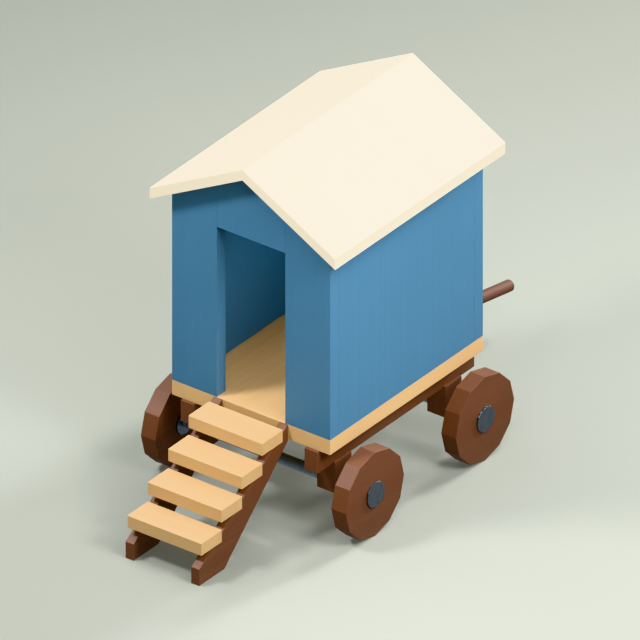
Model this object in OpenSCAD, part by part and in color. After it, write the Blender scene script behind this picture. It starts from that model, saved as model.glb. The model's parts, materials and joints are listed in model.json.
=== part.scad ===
// Bathing machine: a gabled wooden changing cabin on a four-wheeled cart, with a flight
// of four steps up to its open doorway and a draw pole at the back.
// Millimetres, +Z up. The steps face -Y and the draw pole points to +Y. The origin is on
// the ground, midway along the whole length and midway between the wheels.

/* [Cabin] */
// Width of the cabin over its side walls
cabin_w = 1830; // [1650:10:2000]
// Length of the cabin over its front and back walls
cabin_l = 2360; // [2100:10:2800]
// Thickness of the front and back walls
end_wall_t = 136; // [80:1:150]
// Thickness of the side walls
side_wall_t = 124; // [80:1:150]
// Height of the side walls from the deck to the roof, at their outer faces
wall_h = 2047; // [1950:1:2300]
// Width of the doorway
door_w = 792; // [700:2:820]
// Height of the doorway
door_h = 1836; // [1750:1:1950]

/* [Roof] */
// Rise of the roof's underside from a side wall's outer face to the ridge
roof_rise = 496; // [350:1:700]
// Thickness of the roof, measured straight down
roof_t = 116; // [70:1:150]
// How far the eaves reach past the side walls
eave_over = 157; // [80:1:220]
// How far the roof reaches past the front and back walls
gable_over = 133; // [60:1:200]

/* [Deck and frame] */
// Thickness of the deck
deck_t = 159; // [90:1:180]
// Width of a side beam
beam_w = 151; // [110:1:180]
// Height of a side beam
beam_h = 230; // [205:1:270]
// How far the side beams are set in from the deck's sides
beam_inset = 122.5; // [80:0.5:160]
// How far the side beams reach past the deck at each end
beam_out = 30; // [10:1:60]
// Thickness of a cross bearer, along the cart
bearer_t = 90; // [60:1:100]
// Distance from an axle's centre up to the side beams
axle_drop = 251; // [200:1:300]
// Width of an axle block, across the cart
block_w = 212; // [200:1:240]
// Length of an axle block, along the cart
block_l = 252; // [200:1:300]
// Depth that a side beam is let into an axle block
block_seat = 20; // [10:1:40]
// Wood left under the axle in an axle block
block_under = 6; // [4:1:20]

/* [Wheels] */
// Distance from each end of the deck to the nearer axle
axle_inset = 331; // [250:1:400]
// Gap between the cabin's side and a wheel
wheel_gap = 102; // [60:1:160]
// Radius of a wheel, to its corners
wheel_r = 451; // [400:1:470]
// Thickness of a wheel
wheel_t = 170; // [100:1:180]
// Radius of a hub, to its corners
hub_r = 134; // [100:1:160]
// How far a hub stands proud of the wheel on each side
hub_proud = 15; // [5:1:30]
// Radius of an axle bar, to its corners
axle_r = 56; // [50:1:70]
// Radius of the round journal that a wheel turns on
journal_r = 42; // [30:1:45]

/* [Steps] */
// How far a tread reaches past the doorway on each side
tread_over_door = 31; // [10:1:60]
// Depth of a tread, front to back
tread_d = 317; // [280:1:340]
// Thickness of a tread
tread_t = 132; // [60:1:150]
// Height from one tread to the next
tread_rise = 209.4; // [195:0.1:215]
// Distance from one tread's front edge to the next
tread_going = 313; // [290:1:330]
// How far the top tread lies below the deck's top
top_drop = 21; // [10:1:60]
// Gap between the top tread and the deck's front edge
top_gap = 79; // [50:1:100]
// Thickness of a stringer
stringer_t = 94; // [50:1:110]
// Height of a stringer's upper end, against the deck
stringer_end_h = 180; // [165:1:240]
// Length of a stringer's foot on the ground
foot_l = 387; // [300:1:450]
// How far the stringers reach past the lowest tread's front edge
foot_out = 33; // [10:1:60]

/* [Draw pole] */
// Radius of the draw pole
pole_r = 58; // [45:1:62]
// Length of the draw pole past the deck's back edge
pole_out = 1657; // [1200:1:2000]
// Angle that the draw pole slopes down by, in degrees
pole_tilt = 10.2; // [8:0.1:12]

/* [Hidden] */

left = -1;
right = 1;
wheel_sides = 12;
round_sides = 96;
tread_count = 4;
running_gap = 0.05; // between a journal and its bore, on the radius
end_gap = 2; // between an axle bar's end and the hub that turns beside it
journal_end_gap = 1; // between a journal's end and the bottom of its bore
hub_cap_t = 24; // metal that closes a hub's outer end
pole_gap = 0.2; // between the draw pole and the holes it passes through, on the radius
pole_deck_gap = 5; // between the draw pole's inner end and the deck
pole_end_out = 12; // how far the pole's inner end stands out of the inner bearer
over_cut = 1; // how far a cut runs past a face
origin_step = 0.01; // the origin's place along the cart is rounded to this

// Heights, from the ground up
axle_z = wheel_r;
beam_z = axle_z + axle_drop;
deck_z = beam_z + beam_h;
floor_z = deck_z + deck_t;
eave_z = floor_z + wall_h;
ridge_z = eave_z + roof_rise;
roof_slope = roof_rise / (cabin_w / 2);

// Outer edge of the roof's underside
roof_edge_x = cabin_w / 2 + eave_over;
roof_edge_z = eave_z - roof_slope * eave_over;

// Lengths, from the foot of the steps to the tip of the draw pole
stair_run = top_gap + tread_d + (tread_count - 1) * tread_going + foot_out;
pole_reach = pole_out * cos(pole_tilt) + pole_r * sin(pole_tilt);
half_l = (stair_run + cabin_l + pole_reach) / 2;
front_y = stair_run - round(half_l / origin_step) * origin_step;
back_y = front_y + cabin_l;
front_axle_y = front_y + axle_inset;
rear_axle_y = back_y - axle_inset;

// Draw pole: its centre line crosses the deck's back edge at the beams' mid-height
pole_z = beam_z + beam_h / 2;
pole_headroom = beam_h / 2 - pole_r / cos(pole_tilt) - pole_deck_gap;
pole_in = pole_headroom / sin(pole_tilt);
inner_bearer_y = back_y - pole_in * cos(pole_tilt) + pole_end_out;

// Beams, wheels and axles, across the cart
beam_x = cabin_w / 2 - beam_inset - beam_w / 2;
wheel_x = cabin_w / 2 + wheel_gap + wheel_t / 2;
hub_l = wheel_t + 2 * hub_proud;
hub_inner_x = wheel_x - hub_l / 2;
bore_l = hub_l - hub_cap_t;
axle_l = 2 * (hub_inner_x - end_gap);
journal_l = 2 * (hub_inner_x + bore_l - journal_end_gap);

// Steps
tread_w = door_w + 2 * tread_over_door;
stair_slope = tread_rise / tread_going;

timber_paint = [0.33, 0.56, 0.71];
roof_paint = [0.98, 0.93, 0.86];
pale_timber = [0.92, 0.74, 0.51];
dark_timber = [0.42, 0.27, 0.17];
iron = [0.30, 0.35, 0.40];

// A board that spans x0..x1, y0..y1 and z0..z1
module block(x0, x1, y0, y1, z0, z1) {
    translate([x0, y0, z0]) cube([x1 - x0, y1 - y0, z1 - z0]);
}

// A section drawn in X and Z, made y0..y1 long
module section_xz(points, y0, y1) {
    translate([0, y1, 0]) rotate([90, 0, 0]) linear_extrude(y1 - y0) polygon(points);
}

// A side view drawn in Y and Z, made x0..x1 thick
module section_yz(points, x0, x1) {
    translate([x0, 0, 0]) rotate([90, 0, 90]) linear_extrude(x1 - x0) polygon(points);
}

// The space under the roof's two slopes, y0..y1 long
module under_roof(y0, y1) {
    section_xz([
        [-roof_edge_x, floor_z], [roof_edge_x, floor_z],
        [roof_edge_x, roof_edge_z], [0, ridge_z], [-roof_edge_x, roof_edge_z]
    ], y0, y1);
}

// A wall that spans x0..x1 and y0..y1, from z0 up to the roof's slope
module wall(x0, x1, y0, y1, z0) {
    color(timber_paint) intersection() {
        block(min(x0, x1), max(x0, x1), y0, y1, z0, ridge_z);
        under_roof(y0 - over_cut, y1 + over_cut);
    }
}

// A bar along X with its middle at x, y and at axle height
module cross_bar(x, y, r, length, sides) {
    translate([x - length / 2, y, axle_z]) rotate([0, 90, 0]) cylinder(h = length, r = r, $fn = sides);
}

// The draw pole's line: along +Z here is along the pole, towards its tip
module pole_line() {
    translate([0, back_y, pole_z]) rotate([-90 - pole_tilt, 0, 0]) children();
}

module side_beam(side) {
    x = side * beam_x;
    color(dark_timber)
        block(x - beam_w / 2, x + beam_w / 2, front_y - beam_out, back_y + beam_out, beam_z, deck_z);
}

// A bearer between the side beams, above the axle blocks, with its front face at y
module cross_bearer(y) {
    half = beam_x - beam_w / 2;
    color(dark_timber) block(-half, half, y, y + bearer_t, beam_z + block_seat, deck_z);
}

// A bearer that the draw pole passes through
module pole_bearer(y) {
    color(dark_timber) difference() {
        cross_bearer(y);
        pole_line()
            translate([0, 0, -pole_in - cabin_l / 2])
                cylinder(h = pole_in + cabin_l, r = pole_r + pole_gap, $fn = round_sides);
    }
}

// A block that carries a side beam on an axle, with the beam let into its top
module axle_block(side, y) {
    x = side * beam_x;
    bottom = axle_z - axle_r - block_under;
    color(dark_timber) difference() {
        block(x - block_w / 2, x + block_w / 2, y - block_l / 2, y + block_l / 2,
            bottom, beam_z + block_seat);
        block(x - beam_w / 2, x + beam_w / 2, y - block_l, y + block_l, beam_z, deck_z);
        cross_bar(x, y, axle_r, block_w + 2 * over_cut, wheel_sides);
    }
}

// A twelve-sided bar with a round journal at each end
module axle(y) {
    color(iron) union() {
        cross_bar(0, y, axle_r, axle_l, wheel_sides);
        cross_bar(0, y, journal_r, journal_l, round_sides);
    }
}

// A solid twelve-sided wheel that stands on one corner
module wheel(side, y) {
    x = side * wheel_x;
    color(dark_timber) difference() {
        cross_bar(x, y, wheel_r, wheel_t, wheel_sides);
        cross_bar(x, y, hub_r, wheel_t + 2 * over_cut, wheel_sides);
    }
}

// A hub through the wheel, open to the axle on its inner side and closed on its outer one
module hub(side, y) {
    x = side * wheel_x;
    bore_x = side * (hub_inner_x + bore_l / 2 - over_cut / 2);
    color(iron) difference() {
        cross_bar(x, y, hub_r, hub_l, wheel_sides);
        cross_bar(bore_x, y, journal_r + running_gap, bore_l + over_cut, round_sides);
    }
}

module deck() {
    color(pale_timber) block(-cabin_w / 2, cabin_w / 2, front_y, back_y, deck_z, floor_z);
}

// The front wall beside the doorway
module front_wall_side(side) {
    wall(side * cabin_w / 2, side * door_w / 2, front_y, front_y + end_wall_t, floor_z);
}

// The front wall over the doorway, up to the ridge
module front_wall_top() {
    wall(-door_w / 2, door_w / 2, front_y, front_y + end_wall_t, floor_z + door_h);
}

module back_wall() {
    wall(-cabin_w / 2, cabin_w / 2, back_y - end_wall_t, back_y, floor_z);
}

// A side wall between the front and back walls
module side_wall(side) {
    outer = side * cabin_w / 2;
    inner = side * (cabin_w / 2 - side_wall_t);
    wall(outer, inner, front_y + end_wall_t, back_y - end_wall_t, floor_z);
}

// One slope of the roof, cut plumb at the eave and at the ridge
module roof(side) {
    x = side * roof_edge_x;
    color(roof_paint)
        section_xz([
            [0, ridge_z], [x, roof_edge_z], [x, roof_edge_z + roof_t], [0, ridge_z + roof_t]
        ], front_y - gable_over, back_y + gable_over);
}

// Tread number one is the top one
module tread_box(number, half_w) {
    y = front_y - top_gap - tread_d - (number - 1) * tread_going;
    top = floor_z - top_drop - (number - 1) * tread_rise;
    block(-half_w, half_w, y, y + tread_d, top - tread_t, top);
}

module tread(number) {
    color(pale_timber) tread_box(number, tread_w / 2);
}

// A sloping side of the steps, notched for the treads, with its upper end against the deck
module stringer(side) {
    outer = side * tread_w / 2;
    inner = side * (tread_w / 2 - stringer_t);
    toe_y = front_y - stair_run;
    color(dark_timber) difference() {
        section_yz([
            [toe_y, 0], [toe_y + foot_l, 0],
            [front_y, floor_z - stringer_end_h], [front_y, floor_z],
            [toe_y, floor_z - stair_slope * stair_run]
        ], min(outer, inner), max(outer, inner));
        for (number = [1 : tread_count]) tread_box(number, tread_w);
    }
}

// A round pole through the inner and the rear bearer
module draw_pole() {
    color(dark_timber)
        pole_line() translate([0, 0, -pole_in])
            cylinder(h = pole_in + pole_out, r = pole_r, $fn = round_sides);
}

side_beam(left);  // side_beam_left
side_beam(right);  // side_beam_right
cross_bearer(front_axle_y);  // cross_bearer_front
pole_bearer(inner_bearer_y);  // cross_bearer_inner
pole_bearer(back_y - bearer_t);  // cross_bearer_rear
axle_block(left, front_axle_y);  // axle_block_front_left
axle_block(right, front_axle_y);  // axle_block_front_right
axle_block(left, rear_axle_y);  // axle_block_rear_left
axle_block(right, rear_axle_y);  // axle_block_rear_right
axle(front_axle_y);  // front_axle
axle(rear_axle_y);  // rear_axle
wheel(left, front_axle_y);  // wheel_front_left
wheel(right, front_axle_y);  // wheel_front_right
wheel(left, rear_axle_y);  // wheel_rear_left
wheel(right, rear_axle_y);  // wheel_rear_right
hub(left, front_axle_y);  // hub_front_left
hub(right, front_axle_y);  // hub_front_right
hub(left, rear_axle_y);  // hub_rear_left
hub(right, rear_axle_y);  // hub_rear_right
deck();
front_wall_side(left);  // front_wall_left
front_wall_side(right);  // front_wall_right
front_wall_top();
side_wall(left);  // left_wall
side_wall(right);  // right_wall
back_wall();
roof(left);  // roof_left
roof(right);  // roof_right
stringer(left);  // stringer_left
stringer(right);  // stringer_right
tread(1);  // tread_1
tread(2);  // tread_2
tread(3);  // tread_3
tread(4);  // tread_4
draw_pole();
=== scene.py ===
import json
import math

import bmesh
import bpy
from mathutils import Matrix, Vector


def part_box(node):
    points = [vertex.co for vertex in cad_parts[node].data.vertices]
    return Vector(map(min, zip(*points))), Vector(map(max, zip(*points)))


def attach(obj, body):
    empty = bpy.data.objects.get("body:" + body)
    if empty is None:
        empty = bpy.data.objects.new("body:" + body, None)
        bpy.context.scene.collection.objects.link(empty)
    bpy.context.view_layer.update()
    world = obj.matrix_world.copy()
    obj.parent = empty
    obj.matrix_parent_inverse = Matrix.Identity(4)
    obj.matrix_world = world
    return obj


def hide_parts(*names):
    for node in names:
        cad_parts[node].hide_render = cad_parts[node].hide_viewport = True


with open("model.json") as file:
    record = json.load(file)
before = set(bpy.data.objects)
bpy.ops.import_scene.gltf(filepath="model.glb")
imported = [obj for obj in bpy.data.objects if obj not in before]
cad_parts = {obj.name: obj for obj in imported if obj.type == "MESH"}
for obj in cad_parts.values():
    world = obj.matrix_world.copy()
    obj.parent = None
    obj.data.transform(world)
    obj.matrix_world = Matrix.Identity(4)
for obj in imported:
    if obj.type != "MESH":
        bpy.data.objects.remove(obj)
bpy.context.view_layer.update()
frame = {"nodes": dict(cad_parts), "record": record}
scene = bpy.context.scene
nodes = frame["nodes"]
bodyOfNode = {
    node: body
    for body, members in frame["record"]["behaviour"]["bodies"].items()
    for node in members
}
across = Vector((1, 0, 0))  # from side to side
along = Vector((0, 1, 0))  # from the steps to the draw pole
up = Vector((0, 0, 1))
wheelPlaces = ["front_left", "front_right", "rear_left", "rear_right"]
print("frame loaded:", len(nodes), "nodes")


# small helpers for shader trees
def plug(tree, value, socket):
    if isinstance(value, bpy.types.NodeSocket):
        tree.links.new(value, socket)
    else:
        socket.default_value = value


def mathStep(tree, operation, *values, clamp=False):
    node = tree.nodes.new("ShaderNodeMath")
    node.operation = operation
    node.use_clamp = clamp
    for value, socket in zip(values, node.inputs):
        plug(tree, value, socket)
    return node.outputs[0]


def vectorStep(tree, operation, *values):
    node = tree.nodes.new("ShaderNodeVectorMath")
    node.operation = operation
    for value, socket in zip(values, node.inputs):
        plug(tree, value, socket)
    return node.outputs["Value" if operation == "DOT_PRODUCT" else "Vector"]


def mapStep(tree, value, fromLow, fromHigh, toLow, toHigh):
    node = tree.nodes.new("ShaderNodeMapRange")
    node.interpolation_type = "SMOOTHSTEP"
    for socket, given in zip(node.inputs, (value, fromLow, fromHigh, toLow, toHigh)):
        plug(tree, given, socket)
    return node.outputs["Result"]


def mixColours(tree, factor, first, second):
    node = tree.nodes.new("ShaderNodeMix")
    node.data_type = "RGBA"
    plug(tree, factor, node.inputs["Factor"])
    plug(tree, first, node.inputs[6])
    plug(tree, second, node.inputs[7])
    return node.outputs[2]


def noiseStep(tree, position, size, detail=3.0):
    node = tree.nodes.new("ShaderNodeTexNoise")
    plug(tree, position, node.inputs["Vector"])
    node.inputs["Scale"].default_value = 1 / size
    node.inputs["Detail"].default_value = detail
    node.inputs["Roughness"].default_value = 0.55
    return node.outputs["Fac"]


def newGroup(name, inputs, outputs):
    tree = bpy.data.node_groups.new(name, "ShaderNodeTree")
    for label, kind, value in inputs:
        socket = tree.interface.new_socket(label, in_out="INPUT", socket_type=kind)
        socket.default_value = value
    for label in outputs:
        tree.interface.new_socket(label, in_out="OUTPUT", socket_type="NodeSocketFloat")
    return tree, tree.nodes.new("NodeGroupInput").outputs, tree.nodes.new("NodeGroupOutput").inputs


timberShape = {
    "pithSide": (0.16, -0.08), "pithDepth": (0.9, 0.07),  # spread and least, in metres from the board
    "boardSlide": 9.0,  # a board lies up to this far along its log
    "ringStretch": 0.09, "fibreStretch": 0.035,  # how slowly they change lengthwise
    "ringWander": 2.6,
    "ringScale": 0.157,  # the wave's scale where a light or a dark ring is a metre wide
}


# sawn timber: which board a point is on, its growth rings and its fibres
def makeTimberGroup():
    tree, given, result = newGroup(
        "sawnTimber",
        [
            ("Position", "NodeSocketVector", (0, 0, 0)),
            ("Along", "NodeSocketVector", (0, 1, 0)),
            ("Across", "NodeSocketVector", (1, 0, 0)),
            ("Board Width", "NodeSocketFloat", 0.15),
            ("Board Start", "NodeSocketFloat", 0.0),
            ("Ring Width", "NodeSocketFloat", 0.012),
            ("Fibre Width", "NodeSocketFloat", 0.002),
        ],
        ["Board Tone", "Grain", "Fibre"],
    )
    lengthwise = vectorStep(tree, "DOT_PRODUCT", given["Position"], given["Along"])
    sideways = vectorStep(tree, "DOT_PRODUCT", given["Position"], given["Across"])
    depthAxis = vectorStep(tree, "CROSS_PRODUCT", given["Along"], given["Across"])
    depth = vectorStep(tree, "DOT_PRODUCT", given["Position"], depthAxis)
    fromStart = mathStep(tree, "SUBTRACT", sideways, given["Board Start"])
    number = mathStep(tree, "FLOOR", mathStep(tree, "DIVIDE", fromStart, given["Board Width"]))
    chance = tree.nodes.new("ShaderNodeTexWhiteNoise")
    chance.noise_dimensions = "1D"
    plug(tree, mathStep(tree, "ADD", number, 3.5), chance.inputs["W"])
    draws = tree.nodes.new("ShaderNodeSeparateColor")
    plug(tree, chance.outputs["Color"], draws.inputs["Color"])

    # rings run round a pith that lies beside each board, and wander along it
    slide = mathStep(tree, "MULTIPLY", draws.outputs["Green"], timberShape["boardSlide"])
    slid = mathStep(tree, "ADD", lengthwise, slide)
    stretched = mathStep(tree, "MULTIPLY", slid, timberShape["ringStretch"])
    middle = mathStep(tree, "MULTIPLY", mathStep(tree, "ADD", number, 0.5), given["Board Width"])
    fromMiddle = mathStep(tree, "SUBTRACT", fromStart, middle)
    pithSide = mathStep(tree, "MULTIPLY_ADD", draws.outputs["Blue"], *timberShape["pithSide"])
    pithDepth = mathStep(tree, "MULTIPLY_ADD", draws.outputs["Red"], *timberShape["pithDepth"])
    place = tree.nodes.new("ShaderNodeCombineXYZ")
    plug(tree, stretched, place.inputs[0])
    plug(tree, mathStep(tree, "ADD", fromMiddle, pithSide), place.inputs[1])
    plug(tree, mathStep(tree, "ADD", depth, pithDepth), place.inputs[2])
    rings = tree.nodes.new("ShaderNodeTexWave")
    rings.wave_type = "RINGS"
    rings.rings_direction = "X"
    plug(tree, place.outputs[0], rings.inputs["Vector"])
    ringScale = mathStep(tree, "DIVIDE", timberShape["ringScale"], given["Ring Width"])
    plug(tree, ringScale, rings.inputs["Scale"])
    rings.inputs["Distortion"].default_value = timberShape["ringWander"]
    rings.inputs["Detail"].default_value = 2.0
    rings.inputs["Detail Scale"].default_value = 1.6

    fibrePlace = tree.nodes.new("ShaderNodeCombineXYZ")
    fibreLength = mathStep(tree, "MULTIPLY", lengthwise, timberShape["fibreStretch"])
    plug(tree, fibreLength, fibrePlace.inputs[0])
    plug(tree, mathStep(tree, "ADD", sideways, slide), fibrePlace.inputs[1])
    plug(tree, depth, fibrePlace.inputs[2])
    fibres = tree.nodes.new("ShaderNodeTexNoise")
    plug(tree, fibrePlace.outputs[0], fibres.inputs["Vector"])
    plug(tree, mathStep(tree, "DIVIDE", 1.0, given["Fibre Width"]), fibres.inputs["Scale"])
    fibres.inputs["Detail"].default_value = 2.0

    plug(tree, draws.outputs["Red"], result["Board Tone"])
    plug(tree, rings.outputs["Fac"], result["Grain"])
    plug(tree, fibres.outputs["Fac"], result["Fibre"])
    return tree


wearShape = {"edgeStarts": 0.99, "edgeFull": 0.86, "patchStarts": 0.42, "patchFull": 0.66}


# where hands, boots and shingle rub an edge
def makeEdgeWearGroup():
    tree, given, result = newGroup(
        "edgeWear",
        [
            ("Position", "NodeSocketVector", (0, 0, 0)),
            ("Edge Width", "NodeSocketFloat", 0.004),
            ("Patch Size", "NodeSocketFloat", 0.06),
        ],
        ["Wear"],
    )
    rounded = tree.nodes.new("ShaderNodeBevel")
    rounded.samples = 4
    plug(tree, given["Edge Width"], rounded.inputs["Radius"])
    facing = tree.nodes.new("ShaderNodeNewGeometry")
    likeness = vectorStep(tree, "DOT_PRODUCT", rounded.outputs[0], facing.outputs["Normal"])
    edge = mapStep(tree, likeness, wearShape["edgeStarts"], wearShape["edgeFull"], 0.0, 1.0)
    patches = tree.nodes.new("ShaderNodeTexNoise")
    plug(tree, given["Position"], patches.inputs["Vector"])
    plug(tree, mathStep(tree, "DIVIDE", 1.0, given["Patch Size"]), patches.inputs["Scale"])
    patches.inputs["Detail"].default_value = 4.0
    starts, full = wearShape["patchStarts"], wearShape["patchFull"]
    patchy = mapStep(tree, patches.outputs["Fac"], starts, full, 0.0, 1.0)
    plug(tree, mathStep(tree, "MULTIPLY", edge, patchy), result["Wear"])
    return tree


dustShape = {"cloudStarts": 0.35, "cloudFull": 0.7, "leastDust": 0.15}


# dust and splashes, thickest near the ground
def makeDustGroup():
    tree, given, result = newGroup(
        "groundDust",
        [
            ("Position", "NodeSocketVector", (0, 0, 0)),
            ("Clean Height", "NodeSocketFloat", 0.6),
            ("Speck Size", "NodeSocketFloat", 0.02),
        ],
        ["Dust"],
    )
    parts = tree.nodes.new("ShaderNodeSeparateXYZ")
    plug(tree, given["Position"], parts.inputs[0])
    height = mathStep(tree, "DIVIDE", parts.outputs[2], given["Clean Height"])
    low = mapStep(tree, height, 0.0, 1.0, 1.0, 0.0)
    specks = tree.nodes.new("ShaderNodeTexNoise")
    plug(tree, given["Position"], specks.inputs["Vector"])
    plug(tree, mathStep(tree, "DIVIDE", 1.0, given["Speck Size"]), specks.inputs["Scale"])
    specks.inputs["Detail"].default_value = 5.0
    starts, full, least = (dustShape[key] for key in ("cloudStarts", "cloudFull", "leastDust"))
    cloudy = mapStep(tree, specks.outputs["Fac"], starts, full, least, 1.0)
    plug(tree, mathStep(tree, "MULTIPLY", low, cloudy), result["Dust"])
    return tree


timberGroup = makeTimberGroup()
edgeWearGroup = makeEdgeWearGroup()
dustGroup = makeDustGroup()


def useGroup(tree, group, **values):
    node = tree.nodes.new("ShaderNodeGroup")
    node.node_tree = group
    for label, value in values.items():
        plug(tree, value, node.inputs[label.replace("_", " ")])
    return node.outputs


def startMaterial(name):
    material = bpy.data.materials.new(name)
    material.use_nodes = True
    tree = material.node_tree
    shader = tree.nodes["Principled BSDF"]
    position = tree.nodes.new("ShaderNodeTexCoord").outputs["Object"]
    return material, tree, shader, position


# colours are the bare, evenly lit ones, except the frame's and the pole's, which hold painted light and
# painted shade; shows are shares from 0 to 1; depths are in metres
finishes = {
    "bluePaint": {
        "colour": (0.058, 0.165, 0.278), "grainColour": (0.053, 0.152, 0.256), "grainShow": 0.22,
        "fibreShow": 0.10, "boardShift": 0.006, "wornColour": (0.104, 0.235, 0.356), "wornShow": 0.30,
        "edgeWidth": 0.003, "dustColour": (0.170, 0.190, 0.190), "dustShow": 0.04, "cleanHeight": 2.2,
        "roughness": (0.44, 0.56), "ringWidth": 0.014, "fibreWidth": 0.0016, "bumpDepth": 0.0004,
    },
    "creamPaint": {
        "colour": (0.705, 0.620, 0.475), "grainColour": (0.670, 0.583, 0.438), "grainShow": 0.18,
        "fibreShow": 0.10, "boardShift": 0.010, "wornColour": (0.765, 0.700, 0.575), "wornShow": 0.3,
        "edgeWidth": 0.003, "dustColour": (0.400, 0.360, 0.290), "dustShow": 0.0, "cleanHeight": 1.0,
        "roughness": (0.50, 0.62), "ringWidth": 0.014, "fibreWidth": 0.0018, "bumpDepth": 0.0006,
    },
    "deckTimber": {
        "colour": (0.585, 0.376, 0.177), "grainColour": (0.513, 0.316, 0.137), "grainShow": 0.32,
        "fibreShow": 0.22, "boardShift": 0.03, "wornColour": (0.559, 0.386, 0.209), "wornShow": 0.35,
        "edgeWidth": 0.003, "dustColour": (0.380, 0.290, 0.180), "dustShow": 0.10, "cleanHeight": 1.6,
        "roughness": (0.48, 0.62), "ringWidth": 0.011, "fibreWidth": 0.0014, "bumpDepth": 0.0007,
    },
    "darkTimber": {
        "colour": (0.129, 0.050, 0.023), "grainColour": (0.097, 0.036, 0.016), "grainShow": 0.45,
        "fibreShow": 0.25, "boardShift": 0.05, "wornColour": (0.175, 0.086, 0.050), "wornShow": 0.45,
        "edgeWidth": 0.004, "dustColour": (0.200, 0.165, 0.125), "dustShow": 0.10, "cleanHeight": 0.5,
        "roughness": (0.50, 0.66), "ringWidth": 0.012, "fibreWidth": 0.0016, "bumpDepth": 0.0008,
    },
}
# painted light: the frame's copy of the dark timber is made paler than the wheels', to lift the shade the
# deck casts on it; painted shade: the pole's copy is made darker, to tone down its highlight, and it is
# duller
finishes["frameTimberPaintedLight"] = {
    **finishes["darkTimber"], "colour": (0.152, 0.062, 0.031), "grainColour": (0.115, 0.045, 0.022),
}
finishes["poleTimberPaintedShade"] = {
    **finishes["darkTimber"], "colour": (0.104, 0.040, 0.019), "grainColour": (0.080, 0.029, 0.013),
    "roughness": (0.68, 0.80),
}


# a timber material: its finish, which way the grain runs and how wide the boards are
def makeTimber(name, finishName, grainAxis, boardAxis, boardWidth=20.0, boardStart=-10.0):
    finish = finishes[finishName]
    material, tree, shader, position = startMaterial(name)
    timber = useGroup(
        tree, timberGroup, Position=position, Along=grainAxis, Across=boardAxis,
        Board_Width=boardWidth, Board_Start=boardStart,
        Ring_Width=finish["ringWidth"], Fibre_Width=finish["fibreWidth"],
    )
    wear = useGroup(tree, edgeWearGroup, Position=position, Edge_Width=finish["edgeWidth"])
    dust = useGroup(tree, dustGroup, Position=position, Clean_Height=finish["cleanHeight"])

    grainShare = mathStep(tree, "MULTIPLY", timber["Grain"], finish["grainShow"])
    fibreShare = mathStep(tree, "MULTIPLY", timber["Fibre"], finish["fibreShow"])
    streaks = mathStep(tree, "ADD", grainShare, fibreShare, clamp=True)
    grained = mixColours(tree, streaks, (*finish["colour"], 1), (*finish["grainColour"], 1))
    spread, palest = 2 * finish["boardShift"], 1 - finish["boardShift"]
    shift = mathStep(tree, "MULTIPLY_ADD", timber["Board Tone"], spread, palest)
    brightness = tree.nodes.new("ShaderNodeHueSaturation")
    plug(tree, grained, brightness.inputs["Color"])
    plug(tree, shift, brightness.inputs["Value"])
    wornShare = mathStep(tree, "MULTIPLY", wear["Wear"], finish["wornShow"])
    worn = mixColours(tree, wornShare, brightness.outputs[0], (*finish["wornColour"], 1))
    dustShare = mathStep(tree, "MULTIPLY", dust["Dust"], finish["dustShow"])
    dusty = mixColours(tree, dustShare, worn, (*finish["dustColour"], 1))
    plug(tree, dusty, shader.inputs["Base Color"])

    smooth, rough = finish["roughness"]
    plug(tree, mapStep(tree, timber["Fibre"], 0.3, 0.7, smooth, rough), shader.inputs["Roughness"])
    height = mathStep(tree, "ADD", timber["Grain"], timber["Fibre"])
    bump = tree.nodes.new("ShaderNodeBump")
    bump.inputs["Strength"].default_value = 0.5
    bump.inputs["Distance"].default_value = finish["bumpDepth"]
    plug(tree, height, bump.inputs["Height"])
    plug(tree, bump.outputs[0], shader.inputs["Normal"])
    return material


ironSettings = {
    "rustColour": (0.16, 0.09, 0.06), "roughness": (0.28, 0.40), "edge": 0.002,
    "mottleSize": 0.035, "pitSize": 0.004, "pitDepth": 0.0002,
    "paleFrom": (0.40, 0.70), "rustFrom": (0.34, 0.22),  # where in the mottle each starts and is full
    "paleShare": 0.5, "rustShare": 0.35, "wornShare": 0.5,
}
# painted reflection: the axle's iron is paler and bluer than the hub's and only partly metallic, standing
# in for the bright reflections its facets show under the deck
irons = {
    "hubIron": {"colour": (0.24, 0.28, 0.32), "paleColour": (0.33, 0.38, 0.42), "metallic": 1.0},
    "axleIronPaintedReflection": {"colour": (0.26, 0.34, 0.42), "paleColour": (0.34, 0.43, 0.52), "metallic": 0.3},
}


def makeIron(name):
    skin = irons[name]
    material, tree, shader, position = startMaterial(name)
    mottle = noiseStep(tree, position, ironSettings["mottleSize"], detail=4.0)
    pits = noiseStep(tree, position, ironSettings["pitSize"])
    wear = useGroup(tree, edgeWearGroup, Position=position, Edge_Width=0.003, Patch_Size=0.03)
    paleShare = mapStep(tree, mottle, *ironSettings["paleFrom"], 0.0, ironSettings["paleShare"])
    base = mixColours(tree, paleShare, (*skin["colour"], 1), (*skin["paleColour"], 1))
    rustShare = mapStep(tree, mottle, *ironSettings["rustFrom"], 0.0, ironSettings["rustShare"])
    rusty = mixColours(tree, rustShare, base, (*ironSettings["rustColour"], 1))
    wornShare = mathStep(tree, "MULTIPLY", wear["Wear"], ironSettings["wornShare"])
    bright = mixColours(tree, wornShare, rusty, (*skin["paleColour"], 1))
    plug(tree, bright, shader.inputs["Base Color"])
    shader.inputs["Metallic"].default_value = skin["metallic"]
    smooth, rough = ironSettings["roughness"]
    plug(tree, mapStep(tree, mottle, 0.3, 0.7, smooth, rough), shader.inputs["Roughness"])
    bump = tree.nodes.new("ShaderNodeBump")
    bump.inputs["Strength"].default_value = 0.6
    bump.inputs["Distance"].default_value = ironSettings["pitDepth"]
    plug(tree, pits, bump.inputs["Height"])
    plug(tree, bump.outputs[0], shader.inputs["Normal"])
    return material


# how near counts as the same: in metres, and the angle in degrees
nearEnough = {"weld": 1e-5, "flatAngle": 0.5, "cut": 1e-6, "onJoint": 1e-5, "onFace": 1e-4}


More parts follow.
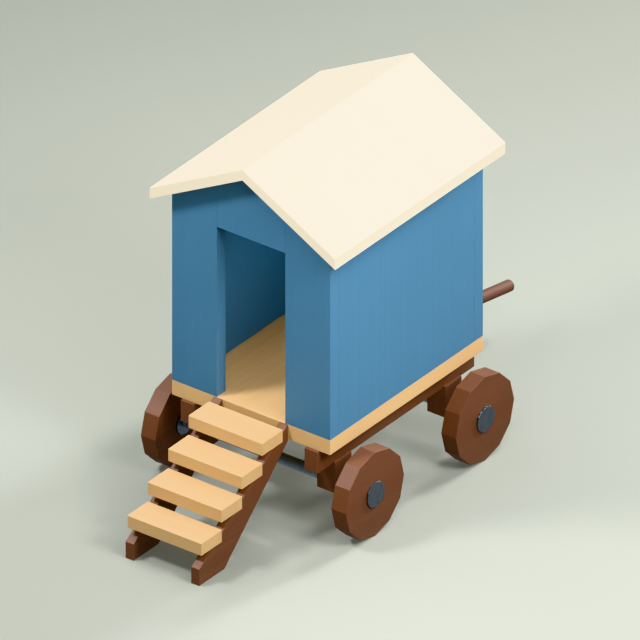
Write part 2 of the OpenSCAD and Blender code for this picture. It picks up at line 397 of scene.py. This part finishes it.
# a clean copy of a node's solid, with its triangles merged back into flat faces
def copySolid(nodeName):
    solid = bmesh.new()
    solid.from_mesh(nodes[nodeName].data)
    bmesh.ops.remove_doubles(solid, verts=solid.verts, dist=nearEnough["weld"])
    flat = math.radians(nearEnough["flatAngle"])
    bmesh.ops.dissolve_limit(solid, angle_limit=flat, verts=solid.verts, edges=solid.edges)
    return solid


# takes the sharpness off the outward edges
def easeEdges(solid, width, segments=2, fromAngle=20):
    sharp = [
        edge
        for edge in solid.edges
        if len(edge.link_faces) == 2
        and edge.is_convex
        and edge.calc_face_angle() > math.radians(fromAngle)
    ]
    bmesh.ops.bevel(
        solid, geom=sharp, offset=width, segments=segments, profile=0.5,
        affect="EDGES", material=-1, clamp_overlap=True,
    )


# cuts a V-shaped joint between boards into the faces given as (normal, distance from the origin)
def cutJoints(solid, axis, places, faces, joint):
    for place in places:
        for shift in (-joint["width"] / 2, 0, joint["width"] / 2):
            everything = solid.verts[:] + solid.edges[:] + solid.faces[:]
            bmesh.ops.bisect_plane(
                solid, geom=everything, dist=nearEnough["cut"],
                plane_co=axis * (place + shift), plane_no=axis,
            )
        for vert in solid.verts:
            if abs(vert.co.dot(axis) - place) > nearEnough["onJoint"]:
                continue
            for normal, distance in faces:
                if abs(vert.co.dot(normal) - distance) < nearEnough["onFace"]:
                    vert.co -= normal * joint["depth"]


# joints on an even grid that starts at start, kept clear of the ends
def gridPlaces(low, high, start, spacing, margin=0.02):
    first = math.ceil((low + margin - start) / spacing)
    last = math.floor((high - margin - start) / spacing)
    return [start + number * spacing for number in range(first, last + 1)]


def finishPiece(solid, name, body, material, replaced=(), smoothUnder=0):
    mesh = bpy.data.meshes.new(name)
    solid.to_mesh(mesh)
    solid.free()
    mesh.materials.append(material)
    if smoothUnder:
        mesh.shade_smooth()
        mesh.set_sharp_from_angle(angle=math.radians(smoothUnder))
    piece = bpy.data.objects.new(name, mesh)
    scene.collection.objects.link(piece)
    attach(piece, body)
    if replaced:
        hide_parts(*replaced)
    return piece


# small round heads, nails or pegs: points on a face, the way it faces, and the head's shape
def addHeads(solid, points, facing, head):
    turn = facing.to_track_quat("Z", "Y").to_matrix().to_4x4()
    for point in points:
        middle = point + facing * (head["proud"] - head["height"] / 2)
        bmesh.ops.create_cone(
            solid, cap_ends=True, segments=head["sides"], radius1=head["radius"],
            radius2=head["radius"] * head["taper"], depth=head["height"],
            matrix=Matrix.Translation(middle) @ turn,
        )


boardJoint = {"width": 0.0014, "depth": 0.0004}
nailHead = {"radius": 0.004, "taper": 0.75, "height": 0.003, "proud": 0.0005, "sides": 8}
nailShares = (0.22, 0.78)  # of a board's width


# two nails a board, either side of its middle, kept clear of the piece's own edges
def nailPlaces(low, high, start, spacing, margin=0.02):
    first, last = math.floor((low - start) / spacing), math.ceil((high - start) / spacing)
    places = [start + spacing * (number + share) for number in range(first, last) for share in nailShares]
    return [place for place in places if low + margin < place < high - margin]


# cabin walls: upright boards, jointed with a fine V, the same inside and out
cabinBoards = {
    "frontCount": 12, "sideCount": 13, "edge": 0.002,
    "nailRows": (0.045, 0.92, 1.79),  # heights above the deck
    "gableRow": 1.90,
}
frontLow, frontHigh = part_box("back_wall")
deckLow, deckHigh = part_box("deck")
sideLow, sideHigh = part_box("right_wall")
endBoard = (frontHigh.x - frontLow.x) / cabinBoards["frontCount"]
sideBoard = (sideHigh.y - sideLow.y) / cabinBoards["sideCount"]
endPaint = makeTimber("bluePaintEnds", "bluePaint", up, across, endBoard, frontLow.x)
sidePaint = makeTimber("bluePaintSides", "bluePaint", up, along, sideBoard, sideLow.y)

for wallName in ("front_wall_left", "front_wall_right", "front_wall_top", "back_wall"):
    low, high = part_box(wallName)
    solid = copySolid(wallName)
    easeEdges(solid, cabinBoards["edge"])
    places = gridPlaces(low.x, high.x, frontLow.x, endBoard)
    cutJoints(solid, across, places, [(along, high.y), (-along, -low.y)], boardJoint)
    rows = [cabinBoards["gableRow"]] if wallName == "front_wall_top" else cabinBoards["nailRows"]
    outside, facing = (high.y, along) if wallName == "back_wall" else (low.y, -along)
    nails = [
        Vector((place, outside, deckHigh.z + row))
        for row in rows
        for place in nailPlaces(low.x, high.x, frontLow.x, endBoard)
    ]
    addHeads(solid, nails, facing, nailHead)
    finishPiece(solid, wallName + "_boards", "cart", endPaint, [wallName])

for wallName in ("left_wall", "right_wall"):
    low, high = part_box(wallName)
    solid = copySolid(wallName)
    easeEdges(solid, cabinBoards["edge"])
    places = gridPlaces(low.y, high.y, sideLow.y, sideBoard)
    cutJoints(solid, along, places, [(across, high.x), (-across, -low.x)], boardJoint)
    outside, facing = (low.x, -across) if wallName == "left_wall" else (high.x, across)
    nails = [
        Vector((outside, place, deckHigh.z + row))
        for row in cabinBoards["nailRows"]
        for place in nailPlaces(low.y, high.y, sideLow.y, sideBoard)
    ]
    addHeads(solid, nails, facing, nailHead)
    finishPiece(solid, wallName + "_boards", "cart", sidePaint, [wallName])
print("cabin walls boarded")

# roof: boards laid down each slope
roofBoards = {
    "count": 15, "edge": 0.002,
    "nailRows": (0.08, 0.5, 0.92),  # shares of the slope, from the ridge
}
for roofName, side in (("roof_left", -1), ("roof_right", 1)):
    low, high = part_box(roofName)
    solid = copySolid(roofName)
    slopes = [face for face in solid.faces if abs(face.normal.x) > 0.1 and abs(face.normal.z) > 0.1]
    top = max(slopes, key=lambda face: face.normal.z)
    facing = top.normal.copy()
    corners = sorted((vert.co.copy() for vert in top.verts), key=lambda point: point.z)
    eave, ridge = corners[0], corners[-1]
    jointFaces = [(face.normal.copy(), face.normal.dot(face.verts[0].co)) for face in slopes]
    easeEdges(solid, roofBoards["edge"])
    spacing = (high.y - low.y) / roofBoards["count"]
    downSlope = facing.cross(along)
    places = gridPlaces(low.y, high.y, low.y, spacing)
    cutJoints(solid, along, places, jointFaces, boardJoint)
    nails = []
    for row in roofBoards["nailRows"]:
        rowPoint = ridge.lerp(eave, row)
        for place in nailPlaces(low.y, high.y, low.y, spacing):
            nails.append(Vector((rowPoint.x, place, rowPoint.z)))
    addHeads(solid, nails, facing, nailHead)
    creamPaint = makeTimber("creamPaint_" + roofName, "creamPaint", downSlope, along, spacing, low.y)
    finishPiece(solid, roofName + "_boards", "cart", creamPaint, [roofName])
print("roof boarded")

# deck: floor boards from the steps to the back
deckBoards = {"edge": 0.003, "bearers": ("cross_bearer_front", "cross_bearer_inner")}
solid = copySolid("deck")
easeEdges(solid, deckBoards["edge"])
places = gridPlaces(deckLow.x, deckHigh.x, frontLow.x, endBoard)
cutJoints(solid, across, places, [(up, deckHigh.z), (-up, -deckLow.z)], boardJoint)
pegs = []
for bearerName in deckBoards["bearers"]:  # the floor boards are pegged to what carries them
    low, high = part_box(bearerName)
    for place in nailPlaces(-sideLow.x, sideLow.x, frontLow.x, endBoard):
        pegs.append(Vector((place, (low.y + high.y) / 2, deckHigh.z)))
addHeads(solid, pegs, up, nailHead)
deckTimber = makeTimber("deckTimber", "deckTimber", along, across, endBoard, frontLow.x)
finishPiece(solid, "deck_boards", "cart", deckTimber, ["deck"])

# treads: one thick plank each, pegged to the stringers
treadPlanks = {
    "count": 4, "edge": 0.003,
    "boardWidth": 0.313, "boardStart": 0.1,  # keeps each tread on one board
}
treadPegs = {
    "radius": 0.009, "taper": 0.9, "height": 0.003, "proud": 0.0006, "sides": 12,
    "fromMiddle": 0.075,
}
treadTimber = makeTimber(
    "treadTimber", "deckTimber", across, along, treadPlanks["boardWidth"], treadPlanks["boardStart"]
)
for number in range(1, treadPlanks["count"] + 1):
    treadName = f"tread_{number}"
    low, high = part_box(treadName)
    solid = copySolid(treadName)
    easeEdges(solid, treadPlanks["edge"])
    pegs = []
    for stringerName in ("stringer_left", "stringer_right"):
        stringerLow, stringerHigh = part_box(stringerName)
        middle = (stringerLow.x + stringerHigh.x) / 2
        for shift in (-treadPegs["fromMiddle"], treadPegs["fromMiddle"]):
            pegs.append(Vector((middle, (low.y + high.y) / 2 + shift, high.z)))
    addHeads(solid, pegs, up, treadPegs)
    finishPiece(solid, treadName + "_plank", "cart", treadTimber, [treadName])
print("deck and treads laid")

# dark frame timbers, in the copy painted paler as painted light
frameEdge = 0.003
darkAlong = makeTimber("paintedLightTimberAlong", "frameTimberPaintedLight", along, across)
darkAcross = makeTimber("paintedLightTimberAcross", "frameTimberPaintedLight", across, along)
darkUpright = makeTimber("paintedLightTimberUpright", "frameTimberPaintedLight", up, along)
frameTimbers = {
    "side_beam_left": darkAlong, "side_beam_right": darkAlong,
    "cross_bearer_front": darkAcross, "cross_bearer_inner": darkAcross, "cross_bearer_rear": darkAcross,
    "stringer_left": darkAlong, "stringer_right": darkAlong,
}
for place in wheelPlaces:
    frameTimbers["axle_block_" + place] = darkUpright
for nodeName, material in frameTimbers.items():
    solid = copySolid(nodeName)
    easeEdges(solid, frameEdge)
    finishPiece(solid, nodeName + "_timber", "cart", material, [nodeName])

# draw pole: its grain follows the slope of the pole, and its timber is painted darker as painted shade
poleEnds = {"edge": 0.006, "segments": 3, "fromAngle": 40}
solid = copySolid("draw_pole")
endFaces = sorted(solid.faces, key=lambda face: -len(face.verts))[:2]
poleWay = (endFaces[0].calc_center_median() - endFaces[1].calc_center_median()).normalized()
easeEdges(solid, poleEnds["edge"], poleEnds["segments"], poleEnds["fromAngle"])
darkPole = makeTimber("paintedShadeTimberPole", "poleTimberPaintedShade", poleWay, across)
finishPiece(
    solid, "draw_pole_timber", "cart", darkPole, ["draw_pole"], smoothUnder=30
)
print("frame timbers dressed")

# wheels: three planks wide, with an iron hub
wheelPlanks = {"plankWidth": 0.30, "edge": 0.003, "nailFromAxle": 0.2, "nailFromJoint": 0.035}
hubIron = makeIron("hubIron")
for place in wheelPlaces:
    wheelName, hubName = "wheel_" + place, "hub_" + place
    low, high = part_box(wheelName)
    axle = (low + high) / 2
    width = wheelPlanks["plankWidth"]
    start = axle.z - 1.5 * width
    wheelTimber = makeTimber("wheelTimber_" + place, "darkTimber", along, up, width, start)
    solid = copySolid(wheelName)
    easeEdges(solid, wheelPlanks["edge"])
    joints = [axle.z - width / 2, axle.z + width / 2]
    cutJoints(solid, up, joints, [(across, high.x), (-across, -low.x)], boardJoint)
    for facing, side in ((across, high.x), (-across, low.x)):
        nails = [
            Vector((side, axle.y + fromAxle, joint + fromJoint))
            for fromAxle in (-wheelPlanks["nailFromAxle"], wheelPlanks["nailFromAxle"])
            for joint in joints
            for fromJoint in (-wheelPlanks["nailFromJoint"], wheelPlanks["nailFromJoint"])
        ]
        addHeads(solid, nails, facing, nailHead)
    body = bodyOfNode[wheelName]
    finishPiece(solid, wheelName + "_planks", body, wheelTimber, [wheelName])
    solid = copySolid(hubName)
    easeEdges(solid, ironSettings["edge"])
    finishPiece(solid, hubName + "_iron", bodyOfNode[hubName], hubIron, [hubName])
# the axles' iron is painted paler and bluer, as painted reflection
axleIronPaintedReflection = makeIron("axleIronPaintedReflection")
for axleName in ("front_axle", "rear_axle"):
    solid = copySolid(axleName)
    easeEdges(solid, ironSettings["edge"])
    finishPiece(solid, axleName + "_iron", "cart", axleIronPaintedReflection, [axleName], smoothUnder=10)
print("wheels, hubs and axles dressed")

# studio: a pale floor with painted light growing towards the right, soft lights and the camera
floorSettings = {
    "colour": (0.205, 0.216, 0.186), "paleColour": (0.229, 0.240, 0.207),
    "paleFrom": (-1.0, 3.0),  # metres to the right, where it starts to grow paler and where it ends
    "glow": (0.098, 0.104, 0.091),  # keeps its shadows light
    "roughness": 0.8, "size": 400.0,
}
floorMaterial, floorTree, floorShader, floorPosition = startMaterial("paleFloor")
# painted light: the floor's colour is mixed paler towards the right, standing in for the lamps lighting
# that side more
toRight = vectorStep(floorTree, "DOT_PRODUCT", floorPosition, across)
paleShare = mapStep(floorTree, toRight, *floorSettings["paleFrom"], 0.0, 1.0)
floorPaintedLightColour = mixColours(
    floorTree, paleShare, (*floorSettings["colour"], 1), (*floorSettings["paleColour"], 1)
)
plug(floorTree, floorPaintedLightColour, floorShader.inputs["Base Color"])
floorShader.inputs["Roughness"].default_value = floorSettings["roughness"]
floorShader.inputs["Emission Color"].default_value = (*floorSettings["glow"], 1)
floorShader.inputs["Emission Strength"].default_value = 1.0
solid = bmesh.new()
bmesh.ops.create_grid(solid, x_segments=1, y_segments=1, size=floorSettings["size"] / 2)
floorMesh = bpy.data.meshes.new("studio_floor")
solid.to_mesh(floorMesh)
solid.free()
floorMesh.materials.append(floorMaterial)
floor = bpy.data.objects.new("studio_floor", floorMesh)
scene.collection.objects.link(floor)
floor.visible_glossy = False  # polished iron mirrors the even air, not the floor

# soft lights: where each stands, what it faces, its size in metres and its watts
cartMiddle = (0, -0.25, 1.5)
oblongLights = ("key", "right", "rim")  # the others are round
lightSettings = {
    "key": {"place": (-5.2, -7.7, 12.4), "aim": cartMiddle, "size": (3.0, 1.4), "power": 2000},
    "right": {"place": (10.7, -2.0, 10.4), "aim": cartMiddle, "size": (4.0, 3.6), "power": 1660},
    "rim": {"place": (1.6, 6.5, 9.4), "aim": cartMiddle, "size": (1.6, 1.9), "power": 640},
    "back": {"place": (6.2, 24.6, 10.2), "aim": cartMiddle, "size": (4.0, 4.0), "power": 8400},
    "left": {"place": (-5.3, -0.25, 7.9), "aim": cartMiddle, "size": (6.0, 6.0), "power": 390},
    "front": {"place": (4.4, -3.2, 7.9), "aim": cartMiddle, "size": (4.4, 4.4), "power": 410},
    "cabin": {
        "place": (0.45, -0.40, 2.40), "aim": (-0.25, -0.50, 1.0), "size": (0.3, 0.3), "power": 12.5,
    },
}
for name, settings in lightSettings.items():
    lamp = bpy.data.lights.new(name + "_light", "AREA")
    lamp.shape = "RECTANGLE" if name in oblongLights else "DISK"
    lamp.size, lamp.size_y = settings["size"]
    lamp.energy = settings["power"]
    light = bpy.data.objects.new(name + "_light", lamp)
    light.location = settings["place"]
    facing = light.location - Vector(settings["aim"])
    light.rotation_euler = facing.to_track_quat("Z", "Y").to_euler()
    light.visible_camera = False
    scene.collection.objects.link(light)

airSettings = {"colour": (1, 1, 1), "strength": 0.32}
world = bpy.data.worlds.new("studio_air")
scene.world = world
world.use_nodes = True
air = world.node_tree.nodes["Background"]
air.inputs["Color"].default_value = (*airSettings["colour"], 1)
air.inputs["Strength"].default_value = airSettings["strength"]
scene.view_settings.view_transform = "Khronos PBR Neutral"

cameraSettings = {
    "azimuth": math.atan2(3, 4), "elevation": math.atan(0.6), "viewWidth": 5.926, "distance": 14.0,
    "aim": Vector((0, -0.2515, 1.5535)),
}
turn, tilt = cameraSettings["azimuth"], cameraSettings["elevation"]
back = Vector((math.sin(turn) * math.cos(tilt), -math.cos(turn) * math.cos(tilt), math.sin(tilt)))
lens = bpy.data.cameras.new("studio_camera")
lens.type = "ORTHO"
lens.ortho_scale = cameraSettings["viewWidth"]
camera = bpy.data.objects.new("studio_camera", lens)
camera.location = cameraSettings["aim"] + back * cameraSettings["distance"]
camera.rotation_euler = back.to_track_quat("Z", "Y").to_euler()
scene.collection.objects.link(camera)
scene.camera = camera
print("studio set")
